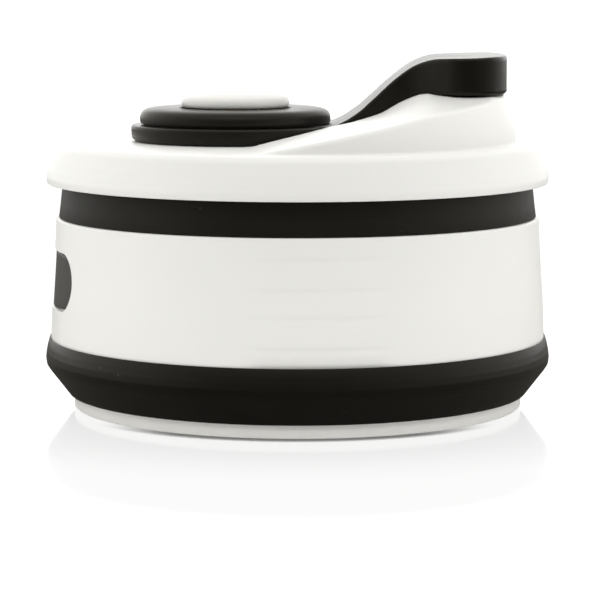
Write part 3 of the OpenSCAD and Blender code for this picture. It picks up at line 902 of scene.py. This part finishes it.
def return_dome():
    profile = fillet([(3.6, 49.92), (4.7, 49.92), (4.7, DOME_LOW, 0.2), (2.95, DOME_HIGH),
                      (1.9, DOME_HIGH), (1.9, 53.1, 0.2)], 3)
    dome = lathe("return_dome_silicone", refine(profile, 0.5), BLACK, segments=64,
                 axis_x=KNOB_X)
    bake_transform(dome)
    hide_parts("return_dome")


# ---------------------------------------------------------------- stopper
# (x, z) along the top and the underside of the strap and pad
STRAP_TOP = [
    (2.0, 54.78), (5.2, 54.8), (6.8, 54.95), (8.5, 55.75), (9.8, 56.45), (12, 57.95),
    (13.8, 59.55), (15.4, 61.0), (16.5, 62.05), (18.6, 63.9), (20.8, 65.6), (22.6, 66.7),
    (24.5, 67.48), (26.3, 67.92), (28.4, 68.06), (31, 68.12), (34, 68.2), (37, 68.33),
    (39, 68.38), (45, 68.4)]
STRAP_UNDER = [
    (2.0, 51.66), (7.6, 51.68), (8.8, 51.95), (10, 52.45), (12, 53.75), (14.2, 55.6),
    (16.5, 57.55), (17.9, 58.5), (19.2, 59.25), (20.8, 60.15), (22.4, 60.72), (24.2, 60.95),
    (27, 61.1), (33, 61.12), (37, 61.02), (45, 61.0)]
# (x, half width) seen from above
STRAP_HALF = [
    (0, 11.6), (8, 11.4), (12, 11.1), (15, 10.5), (18, 10.0), (20.5, 10.0), (22.8, 10.8),
    (25, 12.4), (27.2, 14.4), (29.4, 16.0), (32, 16.6), (34.6, 16.4), (37, 15.2),
    (38.8, 12.4), (40.0, 8.4), (40.5, 4.2), (40.6, 0)]


def stopper():
    """Ring around the knob, strap and pad in one moulding."""
    ring = Outline(fillet([
        (7.05, 51.64, 0.1), (19.5, 51.64, 0.6), (20.2, 52.3, 0.5), (20.3, 53.0, 0.5),
        (20.28, 54.78, 0.42), (7.05, 54.8, 0.1)][::-1], 5))
    strap_side = Outline(spline(STRAP_UNDER, 5) + spline(STRAP_TOP, 5)[::-1])
    half = spline(STRAP_HALF, 6)
    strap_plan = Outline(half + [(x, -y) for x, y in half[::-1]][1:], spacing=0.08)

    def distance(x, y, z):
        # bottom of the pad draws in a little under a thin parting bead
        on_pad = ramp((x - 24) / 2)
        draw = 0.14 * ramp((61.62 - z) / 0.45) * on_pad
        bead = 0.10 * np.exp(-((z - 61.72) / 0.10) ** 2) * on_pad
        strap = smax(strap_side(x, z), strap_plan(x, y) + draw - bead, 0.6)
        strap = np.maximum(strap, 1.5 - x)
        solid = smin(ring(np.hypot(x - KNOB_X, y), z), strap, 0.8)
        bore = np.maximum(np.hypot(x - HOLE_X, y) - 2.52, z - 63.2)
        return np.maximum(solid, -bore)

    piece = solid_from("stopper_silicone", distance, (-33.2, -21.2, 51.0), (41.4, 21.2, 68.7),
                       0.36, BLACK, exact_normals=False)
    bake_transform(piece)
    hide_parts("stopper_ring", "stopper_strap")


for build in (base_plate, base_bumper, folding_wall, upper_wall, grip_sleeve, grip_badge,
              lid_shell, knob_cap, vent_button, return_dome, stopper):
    build()

# CAD pieces that stay, with their materials
for node, material in (
        ("docking_hoop", INNER), ("lid_liner", INNER), ("knob_post", INNER),
        ("lid_gasket", SEAL), ("drink_plug", SEAL), ("vent_stem", STEM),
        ("vent_valve", BLACK)):
    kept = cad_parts[node]
    kept.data.materials.clear()
    kept.data.materials.append(material)


# ---------------------------------------------------------------- studio
def floor_material():
    material = bpy.data.materials.new("studio_floor")
    material.use_nodes = True
    material.node_tree.nodes.clear()
    graph = Graph(material.node_tree)
    white = (1, 1, 1, 1)

    # mirroring fades with distance from the cup's axis, in m
    flat = graph.vector("MULTIPLY", graph.add("NewGeometry")["Position"], (1, 1, 0))
    away = graph.vector("LENGTH", flat)
    near = graph.remap(away, span=(0.050, 0.088), to=(0.19, 0.085), smooth=True)
    far = graph.remap(away, span=(0.110, 0.170), to=(1.0, 0.0), smooth=True)
    gloss = graph.math("MULTIPLY", near, far)
    matte = graph.add("BsdfDiffuse", {"Color": (0.90, 0.90, 0.895, 1)})[0]
    glow = graph.add("Emission", {"Color": white, "Strength": 0.14})[0]
    table = graph.add("AddShader", {0: matte, 1: glow})[0]
    mirror = graph.add("BsdfGlossy", {"Color": white, "Roughness": 0.05})[0]
    bright = graph.add("Emission", {"Color": white, "Strength": 1.03})[0]
    seen = graph.mix_shader(gloss, graph.mix_shader(0.16, bright, table), mirror)

    # painted contact shadow: a thin dark line from ambient occlusion where the foot stands, only
    # on the side facing the viewer
    open_sky = graph.add("AmbientOcclusion", {"Distance": 0.0055}, samples=12)["AO"]
    contact_shadow_amount = graph.remap(open_sky, span=(0.50, 0.63), to=(0.84, 0.0), smooth=True)
    geometry = graph.add("NewGeometry")
    outward = graph.vector("NORMALIZE", geometry["Position"])
    facing = graph.vector("DOT_PRODUCT", outward, geometry["Incoming"])
    facing = graph.remap(facing, span=(0.50, 0.86), smooth=True)
    black = graph.add("BsdfDiffuse", {"Color": (0.10, 0.10, 0.09, 1)})[0]
    seen = graph.mix_shader(graph.math("MULTIPLY", contact_shadow_amount, facing), seen, black)

    # glossy faces mirror a dark table, as if a black card lay in front of the cup
    ray = graph.add("LightPath")
    dark = graph.add("BsdfDiffuse", {"Color": (0.095, 0.088, 0.077, 1)})[0]
    unseen = graph.mix_shader(ray["Is Glossy Ray"], table, dark)
    graph.add("OutputMaterial", {0: graph.mix_shader(ray["Is Camera Ray"], unseen, seen)})
    return material


def studio_floor():
    """A white table that ends in front of the cup, so its front mirrors the dark room."""
    xs = [-2600, -900, -300, -120, 0, 120, 300, 900, 2600]
    ys = [-195, -120, 0, 120, 300, 900, 2600]
    verts = [(x * MM, y * MM, CAD_BOX[0][2] - 0.00002) for y in ys for x in xs]
    n = len(xs)
    faces = [(j * n + i, j * n + i + 1, (j + 1) * n + i + 1, (j + 1) * n + i)
             for j in range(len(ys) - 1) for i in range(n - 1)]
    mesh = bpy.data.meshes.new("floor")
    mesh.from_pydata(verts, [], faces)
    add_object("floor", mesh, floor_material())


def studio_world():
    """A light tent: dark only low down behind the camera, brightest above the front.

    The camera itself sees plain white.
    """
    world = bpy.data.worlds.new("studio")
    bpy.context.scene.world = world
    world.use_nodes = True
    world.node_tree.nodes.clear()
    graph = Graph(world.node_tree)
    toward = graph.add("SeparateXYZ", {0: graph.add("TexCoord")["Generated"]})
    low = graph.remap(toward["Y"], span=(-1.0, -0.1), to=(0.14, 1.08))
    back = graph.remap(toward["Y"], span=(0.80, 0.97), smooth=True)
    low = graph.math("ADD", low, back)
    front = graph.remap(toward["Y"], span=(-0.25, -0.75), smooth=True)
    high = graph.remap(toward["Z"], span=(0.52, 0.80), smooth=True)
    zenith = graph.remap(toward["Z"], span=(0.75, 0.97), to=(0.0, 0.14), smooth=True)
    upper = graph.math("ADD", 1.0, graph.math("MULTIPLY", front, 1.8))
    upper = graph.math("SUBTRACT", upper, zenith)
    amount = graph.math(
        "ADD", graph.math("MULTIPLY", low, graph.math("SUBTRACT", 1.0, high)),
        graph.math("MULTIPLY", upper, high))
    brightness = 1.18
    light = graph.add("Background", {"Color": (1.0, 0.997, 0.985, 1),
                                     "Strength": graph.math("MULTIPLY", amount, brightness)})[0]
    view = graph.add("Background", {"Color": (1, 1, 1, 1), "Strength": 1.05})[0]
    camera_ray = graph.add("LightPath")["Is Camera Ray"]
    graph.add("OutputWorld", {0: graph.mix_shader(camera_ray, light, view)})


def studio_camera():
    """Looks 7 degrees down from 54 cm in front, through a long lens."""
    data = bpy.data.cameras.new("camera")
    data.sensor_width = 36.0
    data.lens = 166.236
    data.shift_x = 0.00416667
    data.clip_start = 0.01
    data.clip_end = 20.0
    camera = bpy.data.objects.new("camera", data)
    bpy.context.scene.collection.objects.link(camera)
    camera.location = (0.0, -0.5417, 0.0862)
    camera.rotation_euler = (math.radians(90 - 6.95), 0, 0)
    bpy.context.scene.camera = camera


studio_floor()
studio_world()
studio_camera()
bpy.context.scene.view_settings.view_transform = "Standard"
bpy.context.scene.view_settings.look = "None"
